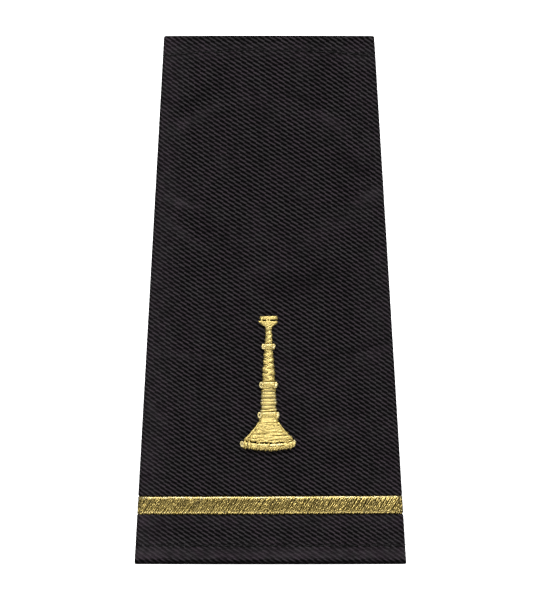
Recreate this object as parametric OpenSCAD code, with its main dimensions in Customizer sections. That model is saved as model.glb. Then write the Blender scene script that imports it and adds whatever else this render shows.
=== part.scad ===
// Slip-on shoulder board, lying on its back: a flat tapered tube of twill cloth,
// with an embroidered stripe and an embroidered speaking trumpet on its front.
// Lengths are millimetres. +Y runs to the narrow mouth, +Z up out of the front.

/* [Sleeve] */
// Length between the two mouths
board_l = 105; // [95:1:115]
// Width across the wide mouth
wide_w = 54; // [50:0.5:58]
// Width across the narrow mouth
narrow_w = 41.8; // [38:0.2:46]
// Height of the arched front above the surface that the back lies on
crown_h = 7.6; // [7.4:0.1:9]
// Thickness of the cloth
cloth_t = 1; // [0.8:0.05:1.05]
// Outer radius of the pressed folds down both sides
fold_r = 1.4; // [1.4:0.05:1.6]
// Gap between the two edges that meet down the middle of the back
seam_gap = 0.3; // [0.2:0.1:0.6]

/* [Hems] */
// How far the cloth is turned in at each mouth
hem_l = 8.5; // [7:0.5:8.5]
// Thickness that the turned-in cloth adds to the wall
hem_extra = 0.4; // [0.2:0.1:0.5]
// Distance from the wide mouth to its row of stitches
wide_stitch = 3.8; // [3:0.1:5]
// Distance from the narrow mouth to its row of stitches, at the side folds
narrow_stitch = 3.9; // [3.5:0.1:5]
// How much nearer the mouth that row runs in the middle
stitch_bow = 1; // [0:0.1:1.2]
// Depth of the groove that a row of stitches pulls into the cloth
stitch_groove = 0.2; // [0.1:0.05:0.3]

/* [Stripe] */
// Distance from the wide mouth to the middle of the stripe
stripe_from_mouth = 11.75; // [11:0.25:14]
// Width of the stripe
stripe_w = 3.5; // [3:0.1:4]
// Thickness of the stripe over the front
stripe_t = 0.6; // [0.4:0.05:0.8]
// Thickness of the stripe where it wraps the side folds
stripe_edge_t = 0.2; // [0.15:0.05:0.3]
// How deep its stitches pull the cloth in
stripe_recess = 0.25; // [0.2:0.05:0.3]

/* [Trumpet] */
// Distance from the middle of the board down to the top of the mouthpiece
trumpet_drop = 3.15; // [2:0.05:5]
// Offset of the trumpet to the left of the middle line
trumpet_left = 0.25; // [0:0.05:1]
// Thickness of the stitching at the outline of each part
satin_edge_t = 0.2; // [0.15:0.05:0.3]
// Gap under the stitching
stitch_gap = 0.1; // [0.05:0.05:0.15]

/* [Hidden] */

cloth_colour = [0.14, 0.13, 0.14];
gold_colour = [0.88, 0.78, 0.46];

half_l = board_l / 2;
stripe_y = stripe_from_mouth - half_l;
stripe_half = stripe_w / 2;

// Half the width of a stitch groove, and the slopes at the stripe and at a hem's raw edge
groove_half = 0.5;
recess_slope = 0.3;
hem_slope = 0.6;

// Shares of the way between two stations over which a hem, the stripe's recess and the
// stripe's thickness fade in, and the share of a hem's extra cloth that reaches the seam
hem_fade = 0.2;
recess_fade = 0.5;
stripe_fade = 0.1;
seam_hem = 0.5;

// Points in the round of a mouth's edge, across a satin part and across the stripe
lip_points = 4;
across_points = 9;
stripe_points = 7;

// Stations round the board, on the right-hand side: 0 is the middle of the front,
// 1 where the front meets the fold, 2 the outermost point, 3 where the fold meets
// the back, and 4 the seam. The left-hand side has the same ones with a minus sign.
FRONT_END = 1;
FOLD_MID = 2;
FOLD_END = 3;
SEAM = 4;
front_steps = 10;
fold_steps = 3;
back_steps = 3;
middle_steps = 8;
right_stations = [
    for (k = [0:front_steps - 1]) FRONT_END * k / front_steps,
    for (k = [0:fold_steps - 1]) FRONT_END + k / fold_steps,
    for (k = [0:fold_steps - 1]) FOLD_MID + k / fold_steps,
    for (k = [0:back_steps]) FOLD_END + k / back_steps
];
stations = [
    for (k = [len(right_stations) - 1:-1:1]) -right_stations[k],
    each right_stations
];

// Half the board's width at y
function half_w(y) = (wide_w + narrow_w) / 4 - y / board_l * (wide_w - narrow_w) / 2;

// Radius of the front's arc, which touches both fold arcs and passes the crown
function front_r(w) =
    let (c = w - fold_r, h = crown_h - fold_r)
    (c * c + h * h - fold_r * fold_r) / (2 * (h - fold_r));

// Half the angle that the front's arc covers
function front_angle(w) = asin((w - fold_r) / (front_r(w) - fold_r));

// Direction of the outward normal at a right-hand station, in degrees from +X
function normal_angle(t, w) =
    t <= FRONT_END ? 90 - t * front_angle(w) :
    t <= FOLD_MID ? (FOLD_MID - t) * (90 - front_angle(w)) :
    t <= FOLD_END ? -(t - FOLD_MID) * 90 : -90;

// Point of the outer face at a right-hand station, as [x, z]
function face_point(t, w) =
    let (a = normal_angle(t, w), r = front_r(w), c = w - fold_r)
    t <= FRONT_END ? [r * cos(a), crown_h - r + r * sin(a)] :
    t <= FOLD_END ? [c + fold_r * cos(a), fold_r + fold_r * sin(a)] :
    [c + (t - FOLD_END) * (seam_gap / 2 - c), 0];

// Point at station s and length y, moved in along the normal by depth
function on_board(s, y, depth) =
    let (w = half_w(y), side = s < 0 ? -1 : 1, t = abs(s))
    let (a = normal_angle(t, w), p = face_point(t, w))
    [side * (p[0] - depth * cos(a)), y, p[1] - depth * sin(a)];

// Height of the front at [x, y]
function front_z(x, y) =
    let (r = front_r(half_w(y)))
    crown_h - r + sqrt(r * r - x * x);

// The hem's extra cloth is thin over the folds and full over the front and the back
function hem_share(s) =
    let (t = abs(s))
    t <= FRONT_END ? min(1, (FRONT_END - t) / hem_fade) :
    t <= FOLD_END ? 0 : min(1, (t - FOLD_END) / hem_fade, seam_hem + (SEAM - t) / hem_fade);

function hem_t(s) = cloth_t + hem_extra * hem_share(s);

// The stripe's stitches pull the cloth in over the front and the folds only
function recess_share(s) = min(1, max(0, FOLD_END - abs(s)) / recess_fade);

// How far the narrow mouth's row of stitches bends to the mouth at a station
function bow(s) = stitch_bow * (1 - min(1, pow(s, 2)));

// Rows of the wall along the length
Y = 0;       // place along the length
GROOVE = 1;  // how deep a row of stitches pulls the outer face
HEM = 2;     // share of the hem's extra cloth on the inner face
BOW = 3;     // share of the stitch row's bow
RECESS = 4;  // how deep the stripe's stitches pull it, 0 where it is left out
wide_rows = [
    [hem_t(0) / 2 - half_l, 0, 1, 0],
    [wide_stitch - groove_half - half_l, 0, 1, 0],
    [wide_stitch - half_l, stitch_groove, 1, 0],
    [wide_stitch + groove_half - half_l, 0, 1, 0],
    [hem_l - hem_slope - half_l, 0, 1, 0],
    [hem_l - half_l, 0, 0, 0],
    [stripe_y - stripe_half - recess_slope, 0, 0, 0],
    [stripe_y - stripe_half, 0, 0, 0, stripe_recess],
    [stripe_y + stripe_half, 0, 0, 0, stripe_recess],
    [stripe_y + stripe_half + recess_slope, 0, 0, 0]
];
middle_start = stripe_y + stripe_half + recess_slope;
middle_l = half_l - hem_l - middle_start;
middle_rows = [for (k = [1:middle_steps - 1]) [middle_start + middle_l * k / middle_steps, 0, 0, 0]];
narrow_rows = [
    [half_l - hem_l, 0, 0, 0],
    [half_l - hem_l + hem_slope, 0, 1, 0],
    [half_l - narrow_stitch - groove_half, 0, 1, 1],
    [half_l - narrow_stitch, stitch_groove, 1, 1],
    [half_l - narrow_stitch + groove_half, 0, 1, 1],
    [half_l - hem_t(0) / 2, 0, 1, 0]
];
rows = concat(wide_rows, middle_rows, narrow_rows);

function row_y(row, s) = row[Y] + row[BOW] * bow(s);

// Depth of the outer face, and of the inner one a cloth's thickness or a hem below it
function outer_depth(row, s) = row[GROOVE] + (len(row) > RECESS ? row[RECESS] * recess_share(s) : 0);

function inner_depth(row, s) =
    cloth_t + (row[HEM] > 0 ? row[HEM] * hem_extra * hem_share(s) : outer_depth(row, s));

// Points k0 to k1 round a mouth's rounded edge at station s, from the outer face inwards.
// The reach puts the middle two of them right at the mouth.
lip_step = 180 / (lip_points + 1);
lip_reach = sin(lip_step * lip_points / 2);

function lip(s, mouth, k0, k1) = [
    for (k = [k0:k1])
        let (a = lip_step * k, r = hem_t(s) / 2)
        on_board(s, mouth * (half_l - r + r * sin(a) / lip_reach), r - r * cos(a))
];

function reversed(list) = [for (k = [len(list) - 1:-1:0]) list[k]];

// The wall's closed outline along the length at one station. Its first half is the
// outer face and its second half the inner one, so that point k faces the kth last.
function wall_loop(s) = concat(
    reversed(lip(s, -1, 1, lip_points / 2)),
    [for (row = rows) on_board(s, row_y(row, s), outer_depth(row, s))],
    lip(s, 1, 1, lip_points / 2),
    lip(s, 1, lip_points / 2 + 1, lip_points),
    [for (row = reversed(rows)) on_board(s, row_y(row, s), inner_depth(row, s))],
    reversed(lip(s, -1, lip_points / 2 + 1, lip_points))
);

// A solid through closed loops of equal length, capped by strips at both ends
module loft(loops) {
    n = len(loops[0]);
    last = (len(loops) - 1) * n;
    sides = [
        for (i = [0:len(loops) - 2], j = [0:n - 1])
            let (a = i * n + j, b = i * n + (j + 1) % n)
            each [[a, b, b + n], [a, b + n, a + n]]
    ];
    first_cap = [for (k = [0:n / 2 - 2]) each [[k, n - 1 - k, n - 2 - k], [k, n - 2 - k, k + 1]]];
    last_cap = [for (f = first_cap) [last + f[2], last + f[1], last + f[0]]];
    polyhedron(points = [for (loop = loops) each loop], faces = concat(sides, first_cap, last_cap));
}

module sleeve() {
    color(cloth_colour)
        loft([for (s = stations) wall_loop(s)]);
}

// The stripe runs over the front and ends just under the side folds
stripe_wrap = 0.2;
stripe_end = FOLD_MID + stripe_wrap;
stripe_stations = [
    -stripe_end,
    for (s = stations) if (abs(s) <= FOLD_MID) s,
    stripe_end
];

// Height of a domed strip above its edges, v from -1 to 1 across it
function dome(v) = sqrt(max(0, 1 - v * v));

// How far it rises in its middle above its edges, none where it wraps the folds
function stripe_rise(s) = (stripe_t - stripe_edge_t) * max(0, min(1, (FRONT_END - abs(s)) / stripe_fade));

function stripe_loop(s) =
    let (vs = [for (k = [0:stripe_points - 1]) -1 + 2 * k / (stripe_points - 1)])
    let (ys = [for (v = vs) stripe_y + v * (stripe_half - stitch_gap / 2)])
    let (base = stripe_recess - stitch_gap / 2, top = base - stripe_edge_t)
    concat(
        [for (k = [0:stripe_points - 1]) on_board(s, ys[k], top - stripe_rise(s) * dome(vs[k]))],
        [for (y = reversed(ys)) on_board(s, y, base)]
    );

module stripe() {
    color(gold_colour)
        loft([for (s = stripe_stations) stripe_loop(s)]);
}

// Rows of a satin part, down the trumpet
DROP = 0;    // distance below the top of the mouthpiece
SPREAD = 1;  // half the part's width
RISE = 2;    // thickness in the middle
SAG = 3;     // how much lower the row hangs in the middle, 0 where it is left out

function satin_loop(row) =
    let (us = [for (k = [0:across_points - 1]) -cos(180 * k / (across_points - 1))])
    let (sag = len(row) > SAG ? row[SAG] : 0)
    let (spots = [for (u = us) [u * row[SPREAD] - trumpet_left,
                                -trumpet_drop - row[DROP] - sag * (1 - u * u)]])
    concat(
        [for (k = [across_points - 1:-1:0])
            let (p = spots[k])
            [p[0], p[1], front_z(p[0], p[1]) + stitch_gap + satin_edge_t
                         + (row[RISE] - satin_edge_t) * dome(us[k])]],
        [for (p = spots) [p[0], p[1], front_z(p[0], p[1]) + stitch_gap]]
    );

module satin(table) {
    color(gold_colour)
        loft([for (row = table) satin_loop(row)]);
}

module mouthpiece() {
    satin([
        [0.00, 1.45, 0.30],
        [0.20, 1.75, 0.60],
        [0.60, 1.80, 0.65],
        [0.90, 1.65, 0.40],
        [1.20, 1.90, 0.65],
        [1.55, 1.85, 0.65],
        [1.85, 1.40, 0.60],
        [2.25, 0.80, 0.45]
    ]);
}

module neck() {
    satin([
        [2.35, 0.68, 0.45],
        [2.70, 0.70, 0.60],
        [3.80, 0.66, 0.62],
        [5.10, 0.76, 0.60],
        [5.45, 0.74, 0.45]
    ]);
}

module upper_ring() {
    satin([
        [5.55, 1.15, 0.40],
        [5.75, 1.42, 0.75],
        [6.20, 1.40, 0.80],
        [6.50, 1.15, 0.70],
        [6.70, 1.00, 0.45]
    ]);
}

module upper_tube() {
    satin([
        [6.80, 0.88, 0.45],
        [7.10, 0.94, 0.65],
        [10.00, 1.12, 0.70],
        [12.70, 1.28, 0.65],
        [13.00, 1.22, 0.45]
    ]);
}

module middle_ring() {
    satin([
        [13.10, 1.55, 0.40],
        [13.32, 1.86, 0.80],
        [13.85, 1.88, 0.85],
        [14.20, 1.64, 0.75],
        [14.45, 1.50, 0.45]
    ]);
}

module lower_tube() {
    satin([
        [14.55, 1.40, 0.45],
        [14.85, 1.46, 0.72],
        [17.00, 1.52, 0.76],
        [18.75, 1.60, 0.72],
        [19.00, 1.56, 0.45]
    ]);
}

module lower_ring() {
    satin([
        [19.10, 1.90, 0.40],
        [19.32, 2.20, 0.85],
        [19.85, 2.22, 0.88],
        [20.25, 1.98, 0.72],
        [20.75, 1.90, 0.74],
        [21.00, 1.84, 0.45]
    ]);
}

module bell() {
    satin([
        [21.10, 2.05, 0.45],
        [21.35, 2.18, 0.72],
        [22.00, 2.60, 0.78],
        [22.80, 3.28, 0.82],
        [23.60, 3.92, 0.82, 0.05],
        [24.35, 4.72, 0.78, 0.25],
        [24.70, 5.05, 0.50, 0.42]
    ]);
}

// Columns of the bell's lip: a bar bent like a smile, with upturned knobs at its ends
SIDE = 0;      // distance to either side of the trumpet's middle
LIP_DROP = 1;  // drop of the bar's middle line
BREADTH = 2;   // half the bar's breadth
LIP_RISE = 3;  // thickness in the middle of the bar
lip_right = [
    [0.00, 26.05, 0.62, 0.82],
    [1.20, 26.02, 0.62, 0.82],
    [2.40, 25.92, 0.62, 0.82],
    [3.50, 25.78, 0.60, 0.82],
    [4.50, 25.60, 0.60, 0.84],
    [5.15, 25.42, 0.66, 0.88],
    [5.50, 25.32, 0.60, 0.70],
    [5.65, 25.28, 0.42, 0.40]
];

function lip_loop(side, col) =
    let (vs = [for (k = [0:across_points - 1]) -cos(180 * k / (across_points - 1))])
    let (x = side * col[SIDE] - trumpet_left)
    let (ys = [for (v = vs) -trumpet_drop - col[LIP_DROP] + v * col[BREADTH]])
    concat(
        [for (k = [0:across_points - 1])
            [x, ys[k], front_z(x, ys[k]) + stitch_gap + satin_edge_t
                       + (col[LIP_RISE] - satin_edge_t) * dome(vs[k])]],
        [for (k = [across_points - 1:-1:0]) [x, ys[k], front_z(x, ys[k]) + stitch_gap]]
    );

module bell_lip() {
    color(gold_colour)
        loft(concat(
            [for (k = [len(lip_right) - 1:-1:1]) lip_loop(-1, lip_right[k])],
            [for (col = lip_right) lip_loop(1, col)]
        ));
}

sleeve();
stripe();
mouthpiece();
neck();
upper_ring();
upper_tube();
middle_ring();
lower_tube();
lower_ring();
bell();
bell_lip();
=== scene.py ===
"""A slip-on shoulder board: a sleeve of ribbed black twill, hemmed at both mouths, with a stripe
and a speaking trumpet embroidered in gold thread. Lengths are metres, and MM is a millimetre.
+Y runs to the narrow mouth, +Z up out of the front, and the back lies on the floor at z = 0."""
import math

import bpy
import numpy as np
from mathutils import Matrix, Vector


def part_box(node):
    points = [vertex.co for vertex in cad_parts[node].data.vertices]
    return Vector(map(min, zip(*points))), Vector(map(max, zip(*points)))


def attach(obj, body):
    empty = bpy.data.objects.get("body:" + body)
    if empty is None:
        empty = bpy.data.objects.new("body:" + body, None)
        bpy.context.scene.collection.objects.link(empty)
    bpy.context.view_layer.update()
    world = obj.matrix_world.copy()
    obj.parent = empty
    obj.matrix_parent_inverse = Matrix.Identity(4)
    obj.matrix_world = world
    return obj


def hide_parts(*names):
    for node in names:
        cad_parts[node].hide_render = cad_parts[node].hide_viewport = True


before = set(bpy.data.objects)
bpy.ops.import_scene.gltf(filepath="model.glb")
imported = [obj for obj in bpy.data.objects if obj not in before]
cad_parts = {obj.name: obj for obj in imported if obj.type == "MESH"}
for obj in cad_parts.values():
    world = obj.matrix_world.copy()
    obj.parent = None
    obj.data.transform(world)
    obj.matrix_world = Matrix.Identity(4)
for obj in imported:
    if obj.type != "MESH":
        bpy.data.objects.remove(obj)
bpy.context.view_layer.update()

MM = 0.001
rng = np.random.default_rng(11)

# The board, as the construction has it
HALF_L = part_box("sleeve")[1].y
WIDE_W = 54.1 * MM
NARROW_W = 41.8 * MM
CROWN_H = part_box("sleeve")[1].z
FOLD_R = 1.4 * MM
CLOTH_T = 1.0 * MM
SEAM_GAP = 0.3 * MM
HEM_L = 8.5 * MM
HEM_EXTRA = 0.4 * MM
STRIPE_Y = 11.75 * MM - HALF_L
STRIPE_HALF = 1.7 * MM
RECESS_D = 0.25 * MM   # of the shallow recess that the stripe lies in
TRUMPET_TOP = -3.15 * MM
TRUMPET_X = -0.22 * MM
LEAN = -0.0024   # how far the board's middle line drifts in x for each unit of y

# The sewing at both mouths, the wide one, -1, and the narrow one, 1
MOUTHS = (-1, 1)
STITCH_LINE = {-1: 3.8 * MM, 1: 3.9 * MM}   # how far in from the mouth it runs
STITCH_BOW = {-1: 0.0, 1: 1.0 * MM}         # how far its middle bows back to the mouth
STITCH_PITCH = 2.3 * MM
STITCH_L = 1.75 * MM
STITCH_DIP = 0.1 * MM   # how far its ends lie under the groove
SEWING_R = 0.13 * MM
SEAM_PITCH = 1.9 * MM

# How the cloth's face stands off its plain form
GROOVE_D = 0.08 * MM
GROOVE_W = 0.3 * MM
PUCKER_H = 0.03 * MM
PUFF_W = 1.4 * MM
HEM_STEP = 0.1 * MM
CREASE_H = 0.06 * MM
WAVE_H = 0.025 * MM

# Threads: half their breadth in the trumpet and in the stripe, and half their usual thickness
THREAD_R = 0.2 * MM
STRIPE_R = 0.175 * MM
THREAD_H = 0.15 * MM
ROUND_L = 0.7 * MM   # what the mark of the place round a thread spans
THREAD_SIDES = 6

# The twill: ribs that fall to the right, seen from the front
RIB_PITCH = 0.758 * MM
RIB_FALL = math.radians(33.7)
RIB_H = 0.13 * MM
RIB_ROWS = np.array([0.0, 0.14, 0.36, 0.64, 0.86])   # places of the mesh's rows across one rib
DASH_L = 1.5 * MM
RIB_NORMAL = np.array([math.sin(RIB_FALL), math.cos(RIB_FALL)])
RIB_ALONG = np.array([math.cos(RIB_FALL), -math.sin(RIB_FALL)])

# Stations round the board: 0 mid front, 1 front meets fold, 2 outermost, 3 fold meets back, 4 seam
FRONT_END, FOLD_MID, FOLD_END, SEAM = 1.0, 2.0, 3.0, 4.0
STRIPE_END, STITCHES_END = 2.2, 3.97

# The sleeve's mesh: columns over half the front, one fold and half the back, and rows
FRONT_COLS, FOLD_COLS, BACK_COLS = 34, 12, 17
RIM_ROWS, LINING_ROWS = 7, 18
HEM_ROWS = np.array([[1.0, 0.75, 0.5, 0.3, 0.12, 0.06]])   # from a mouth to its hem's edge

# The cloth's painted shade: 0 is the open cloth, 1 is black, and what is painted lighter is taken
# off
# Painted shade on the rims, where the cloth rounds over at the mouths, and on the lining inside
# the sleeve
RIM_SHADE = {-1: 0.95, 1: 0.4}
LINING_SHADE = 0.3
# Painted light over the hems, along the stitches and down the flanks, which also flattens the
# ribs' painted shade
HEM_PAINTED_LIGHT = {-1: 1.25, 1: 0.05}
LINE_PAINTED_LIGHT = 0.4      # along the stitches
# Below the stripe the cloth is lighter and its ribs flatter
STRIPE_LIGHTENING = 0.45   # below the stripe
FLANK_PAINTED_LIGHT = (0.6, 0.2)   # along the left fold and the right one


def half_width(y):
    """Half the board's width: a straight taper from the wide mouth to the narrow one."""
    return (WIDE_W + NARROW_W) / 4 - y / (2 * HALF_L) * (WIDE_W - NARROW_W) / 2


def front_arc(w):
    """Radius and half angle of the front's arc, which touches both fold arcs and the crown."""
    c, h = w - FOLD_R, CROWN_H - FOLD_R
    radius = (c * c + h * h - FOLD_R ** 2) / (2 * (h - FOLD_R))
    return radius, np.arcsin(c / (radius - FOLD_R))


def break_lengths(w):
    """Lengths along the outer face from the middle of the front to stations 1, 2, 3 and 4."""
    radius, half = front_arc(w)
    front = radius * half
    fold = front + FOLD_R * (math.pi / 2 - half)
    under = fold + FOLD_R * math.pi / 2
    return front, fold, under, under + w - FOLD_R - SEAM_GAP / 2


def cloth_length(s, y):
    """Signed length along the outer face from the middle of the front to station s."""
    front, fold, under, seam = break_lengths(half_width(y))
    t = np.abs(s)
    inside = np.clip(t, 0, 1) * front
    inside = inside + np.clip(t - FRONT_END, 0, 1) * (fold - front)
    inside = inside + np.clip(t - FOLD_MID, 0, 1) * (under - fold)
    return np.sign(s) * (inside + np.clip(t - FOLD_END, 0, 1) * (seam - under))


def station_at(length, y):
    """The station that lies that far from the middle of the front: the inverse, at one mean y."""
    stops = np.array([0.0, *break_lengths(half_width(float(np.mean(y))))])
    return np.sign(length) * np.interp(np.abs(length), stops, np.arange(5.0))


def on_board(s, y, out):
    """Points at station s and length y, moved out along the normal, and the normals there.
    The front is one arc, each fold two arcs of the fold's radius round a centre that lies c from
    the middle, and the back is flat."""
    s, y, out = np.broadcast_arrays(s, y, out)
    w = half_width(y)
    radius, half = front_arc(w)
    t, side, c = np.abs(s), np.where(s < 0, -1.0, 1.0), w - FOLD_R
    on_front, on_back = t <= FRONT_END, t > FOLD_END
    angle = np.where(t <= FOLD_MID, (FOLD_MID - t) * (math.pi / 2 - half),
                     np.maximum(FOLD_MID - t, -1.0) * math.pi / 2)
    angle = np.where(on_front, math.pi / 2 - t * half, angle)
    cos, sin = np.where(on_back, 0.0, np.cos(angle)), np.sin(angle)
    x = np.where(on_back, c + (t - FOLD_END) * (SEAM_GAP / 2 - c), c + FOLD_R * cos)
    x = np.where(on_front, radius * cos, x)
    z = np.where(on_back, 0.0, FOLD_R + FOLD_R * sin)
    z = np.where(on_front, CROWN_H - radius + radius * sin, z)
    normal = np.stack([side * cos, np.zeros_like(x), sin], -1)
    return np.stack([side * x + LEAN * y, y, z], -1) + normal * out[..., None], normal


def front_point(x, y, out):
    """Points over the front at [x, y], raised straight up from the arc."""
    radius, _ = front_arc(half_width(y))
    return np.stack([x, y, CROWN_H - radius + np.sqrt(radius ** 2 - x ** 2) + out], -1)


def hem_share(s):
    """The hem's extra cloth is full over the front and back and thin over the folds and seam."""
    t = np.abs(s)
    on_back = np.minimum(np.clip((t - FOLD_END) * 5, 0, 1), 0.5 + np.clip((SEAM - t) * 5, 0, 0.5))
    return np.where(t <= FRONT_END, np.clip((FRONT_END - t) * 5, 0, 1), on_back * (t > FOLD_END))


def stitch_y(s, mouth):
    """Where a mouth's row of stitches runs: near the narrow mouth it bows to the mouth."""
    bow = STITCH_BOW[mouth] * (1 - np.minimum(1, np.square(s)))
    return mouth * (HALF_L - STITCH_LINE[mouth] + bow)


def bump_at(distance, width):
    """A round bump of height 1 whose sides fall away over the width."""
    return np.exp(-np.square(distance / width))


def arch_at(place, power=2.6):
    """An arch of height 1 from -1 to 1: the square root of 1 less the place to a power. The
    higher the power, the flatter its top and the steeper its ends."""
    return np.sqrt(np.clip(1 - np.abs(place) ** power, 0, 1))


# Faint creases in the front: middle across and along, rise to the right in degrees, half length
# and half width in mm, and how far each stands out and is painted lighter, as light, or lies in
# and is painted darker, as shade
CREASES = [(-14.4, 40.1, 33, 5.5, 0.9, -0.42), (-14.7, 36.2, 29, 5.0, 1.0, 0.8),
           (6.0, 40.4, -15, 4.0, 1.0, -0.32), (12.6, 35.2, -35, 3.2, 0.9, 0.75),
           (17.2, 26.9, -34, 5.0, 1.1, -0.45), (20.4, 20.7, 25, 3.5, 1.1, 0.9),
           (13.0, 15.1, 29, 8.0, 1.6, 0.4), (-18.2, 19.3, -14, 5.0, 0.8, 0.7),
           (-18.6, 14.0, -36, 4.0, 0.8, 0.8), (-10.9, 13.0, -20, 5.0, 2.2, -0.2),
           (6.5, 3.8, 15, 6.0, 2.4, -0.36), (-0.9, 6.0, 15, 5.0, 1.0, 0.45),
           (-17.0, -11.1, -5, 5.5, 0.8, 0.6), (17.6, -9.7, 16, 5.5, 0.7, -0.42),
           (21.9, -10.3, 20, 3.0, 0.8, 0.6), (-23.4, -22.5, -40, 3.0, 1.0, 0.7),
           (12.4, -25.5, 3, 4.0, 1.1, 0.6)]


def creases(length, y):
    """Long soft bumps: each is one bump along its line times one across it, by its amount."""
    total = 0.0
    for across, along, rise, reach, width, amount in CREASES:
        turn = math.radians(rise)
        off_x, off_y = length / MM - across, y / MM - along
        run = off_x * math.cos(turn) + off_y * math.sin(turn)
        off = off_y * math.cos(turn) - off_x * math.sin(turn)
        total = total + amount * bump_at(run, reach) * bump_at(off, width)
    return total


# Meshes

def add_piece(name, finish, parts):
    """One mesh object out of parts, each (points, faces, marks): the faces are arrays of equal
    polygons, and the marks three numbers a point that the finish reads as the attribute."""
    start, points, faces, marks = 0, [], [], []
    for part_points, part_faces, part_marks in parts:
        points.append(part_points.reshape(-1, 3))
        marks.append(part_marks.reshape(-1, 3))
        for block in part_faces:
            faces += (block.reshape(-1, block.shape[-1]) + start).tolist()
        start += len(points[-1])
    mesh = bpy.data.meshes.new(name)
    mesh.from_pydata(np.concatenate(points).tolist(), [], faces)
    attribute = mesh.attributes.new("cloth", "FLOAT_VECTOR", "POINT")
    attribute.data.foreach_set("vector", np.concatenate(marks).astype(np.float32).ravel())
    mesh.shade_smooth()
    mesh.update()
    mesh.materials.append(finish)
    piece = bpy.data.objects.new(name, mesh)
    bpy.context.scene.collection.objects.link(piece)
    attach(piece, "root")
    return piece


def threads(centres, up, across, height, own_marks):
    """Thread tubes along centre lines of shape (threads, points, 3). Each ring is an ellipse
    square to the line, with its height along up, and both ends are closed by a cap. The marks
    are the length along the thread, its own mark and the place round it."""
    count, steps = centres.shape[:2]
    along = np.gradient(centres, axis=1)
    along /= np.linalg.norm(along, axis=-1, keepdims=True)
    side = np.cross(along, up)
    side /= np.linalg.norm(side, axis=-1, keepdims=True)
    lift = np.cross(side, along)
    turn = np.arange(THREAD_SIDES) * 2 * math.pi / THREAD_SIDES
    across = np.broadcast_to(across, (count, steps))[..., None, None]
    height = np.broadcast_to(height, (count, steps))[..., None, None]
    rings = (centres[:, :, None] + side[:, :, None] * across * np.cos(turn)[:, None]
             + lift[:, :, None] * height * np.sin(turn)[:, None])
    number = np.arange(count * steps * THREAD_SIDES).reshape(count, steps, THREAD_SIDES)
    ahead = np.roll(number, -1, axis=2)
    walls = np.stack([number[:, :-1], number[:, 1:], ahead[:, 1:], ahead[:, :-1]], -1)
    caps = np.stack([number[:, 0], number[:, -1, ::-1]])
    run = np.linalg.norm(np.diff(centres, axis=1, prepend=centres[:, :1]), axis=-1).cumsum(1)
    marks = np.empty(rings.shape)
    marks[..., 0] = run[:, :, None]
    marks[..., 1] = np.asarray(own_marks).reshape(count, -1, 1)
    marks[..., 2] = turn / (2 * math.pi) * ROUND_L
    return rings, [walls, caps], marks


def loft(loops, mark):
    """A closed solid through loops of shape (loops, points, 3), with flat caps. Each loop turns
    clockwise, seen along the loft. Its marks are x, the mark given and y."""
    rows, count = loops.shape[:2]
    number = np.arange(rows * count).reshape(rows, count)
    ahead = np.roll(number, -1, axis=1)
    walls = np.stack([number[:-1], ahead[:-1], ahead[1:], number[1:]], -1)
    marks = np.empty(loops.shape)
    marks[..., 0] = loops[..., 0]
    marks[..., 1] = mark
    marks[..., 2] = loops[..., 1]
    return loops, [walls, np.stack([number[0, ::-1], number[-1]])], marks


# Finishes

class Wire:
    """A socket in a material's maths. The operators add Math nodes, and so do the methods."""

    def __init__(self, tree, socket):
        self.tree, self.socket = tree, socket

    def math(self, operation, *values):
        node = self.tree.nodes.new("ShaderNodeMath")
        node.operation = operation
        for socket, value in zip(node.inputs, values):
            join(self.tree, value, socket)
        return Wire(self.tree, node.outputs[0])

    def __add__(self, other):
        return self.math("ADD", self, other)

    def __radd__(self, other):
        return self.math("ADD", other, self)

    def __sub__(self, other):
        return self.math("SUBTRACT", self, other)

    def __rsub__(self, other):
        return self.math("SUBTRACT", other, self)

    def __mul__(self, other):
        return self.math("MULTIPLY", self, other)

    def __rmul__(self, other):
        return self.math("MULTIPLY", other, self)

    def __truediv__(self, other):
        return self.math("DIVIDE", self, other)

    def __abs__(self):
        return self.math("ABSOLUTE", self)

    def floor(self):
        return self.math("FLOOR", self)

    def fraction(self):
        return self.math("FRACT", self)

    def wave(self):
        """A sine wave, one to each unit."""
        return self.math("SINE", self * (2 * math.pi))

    def least(self, other):
        return self.math("MINIMUM", self, other)

    def most(self, other):
        return self.math("MAXIMUM", self, other)


def join(tree, value, socket):
    """Links a wire to a socket, or sets the socket to a plain value."""
    if isinstance(value, Wire):
        tree.links.new(value.socket, socket)
    else:
        socket.default_value = value


def opaque(colour):
    """A plain colour with its alpha, and a wire as it is."""
    return (*colour, 1.0) if isinstance(colour, tuple) else colour


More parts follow.
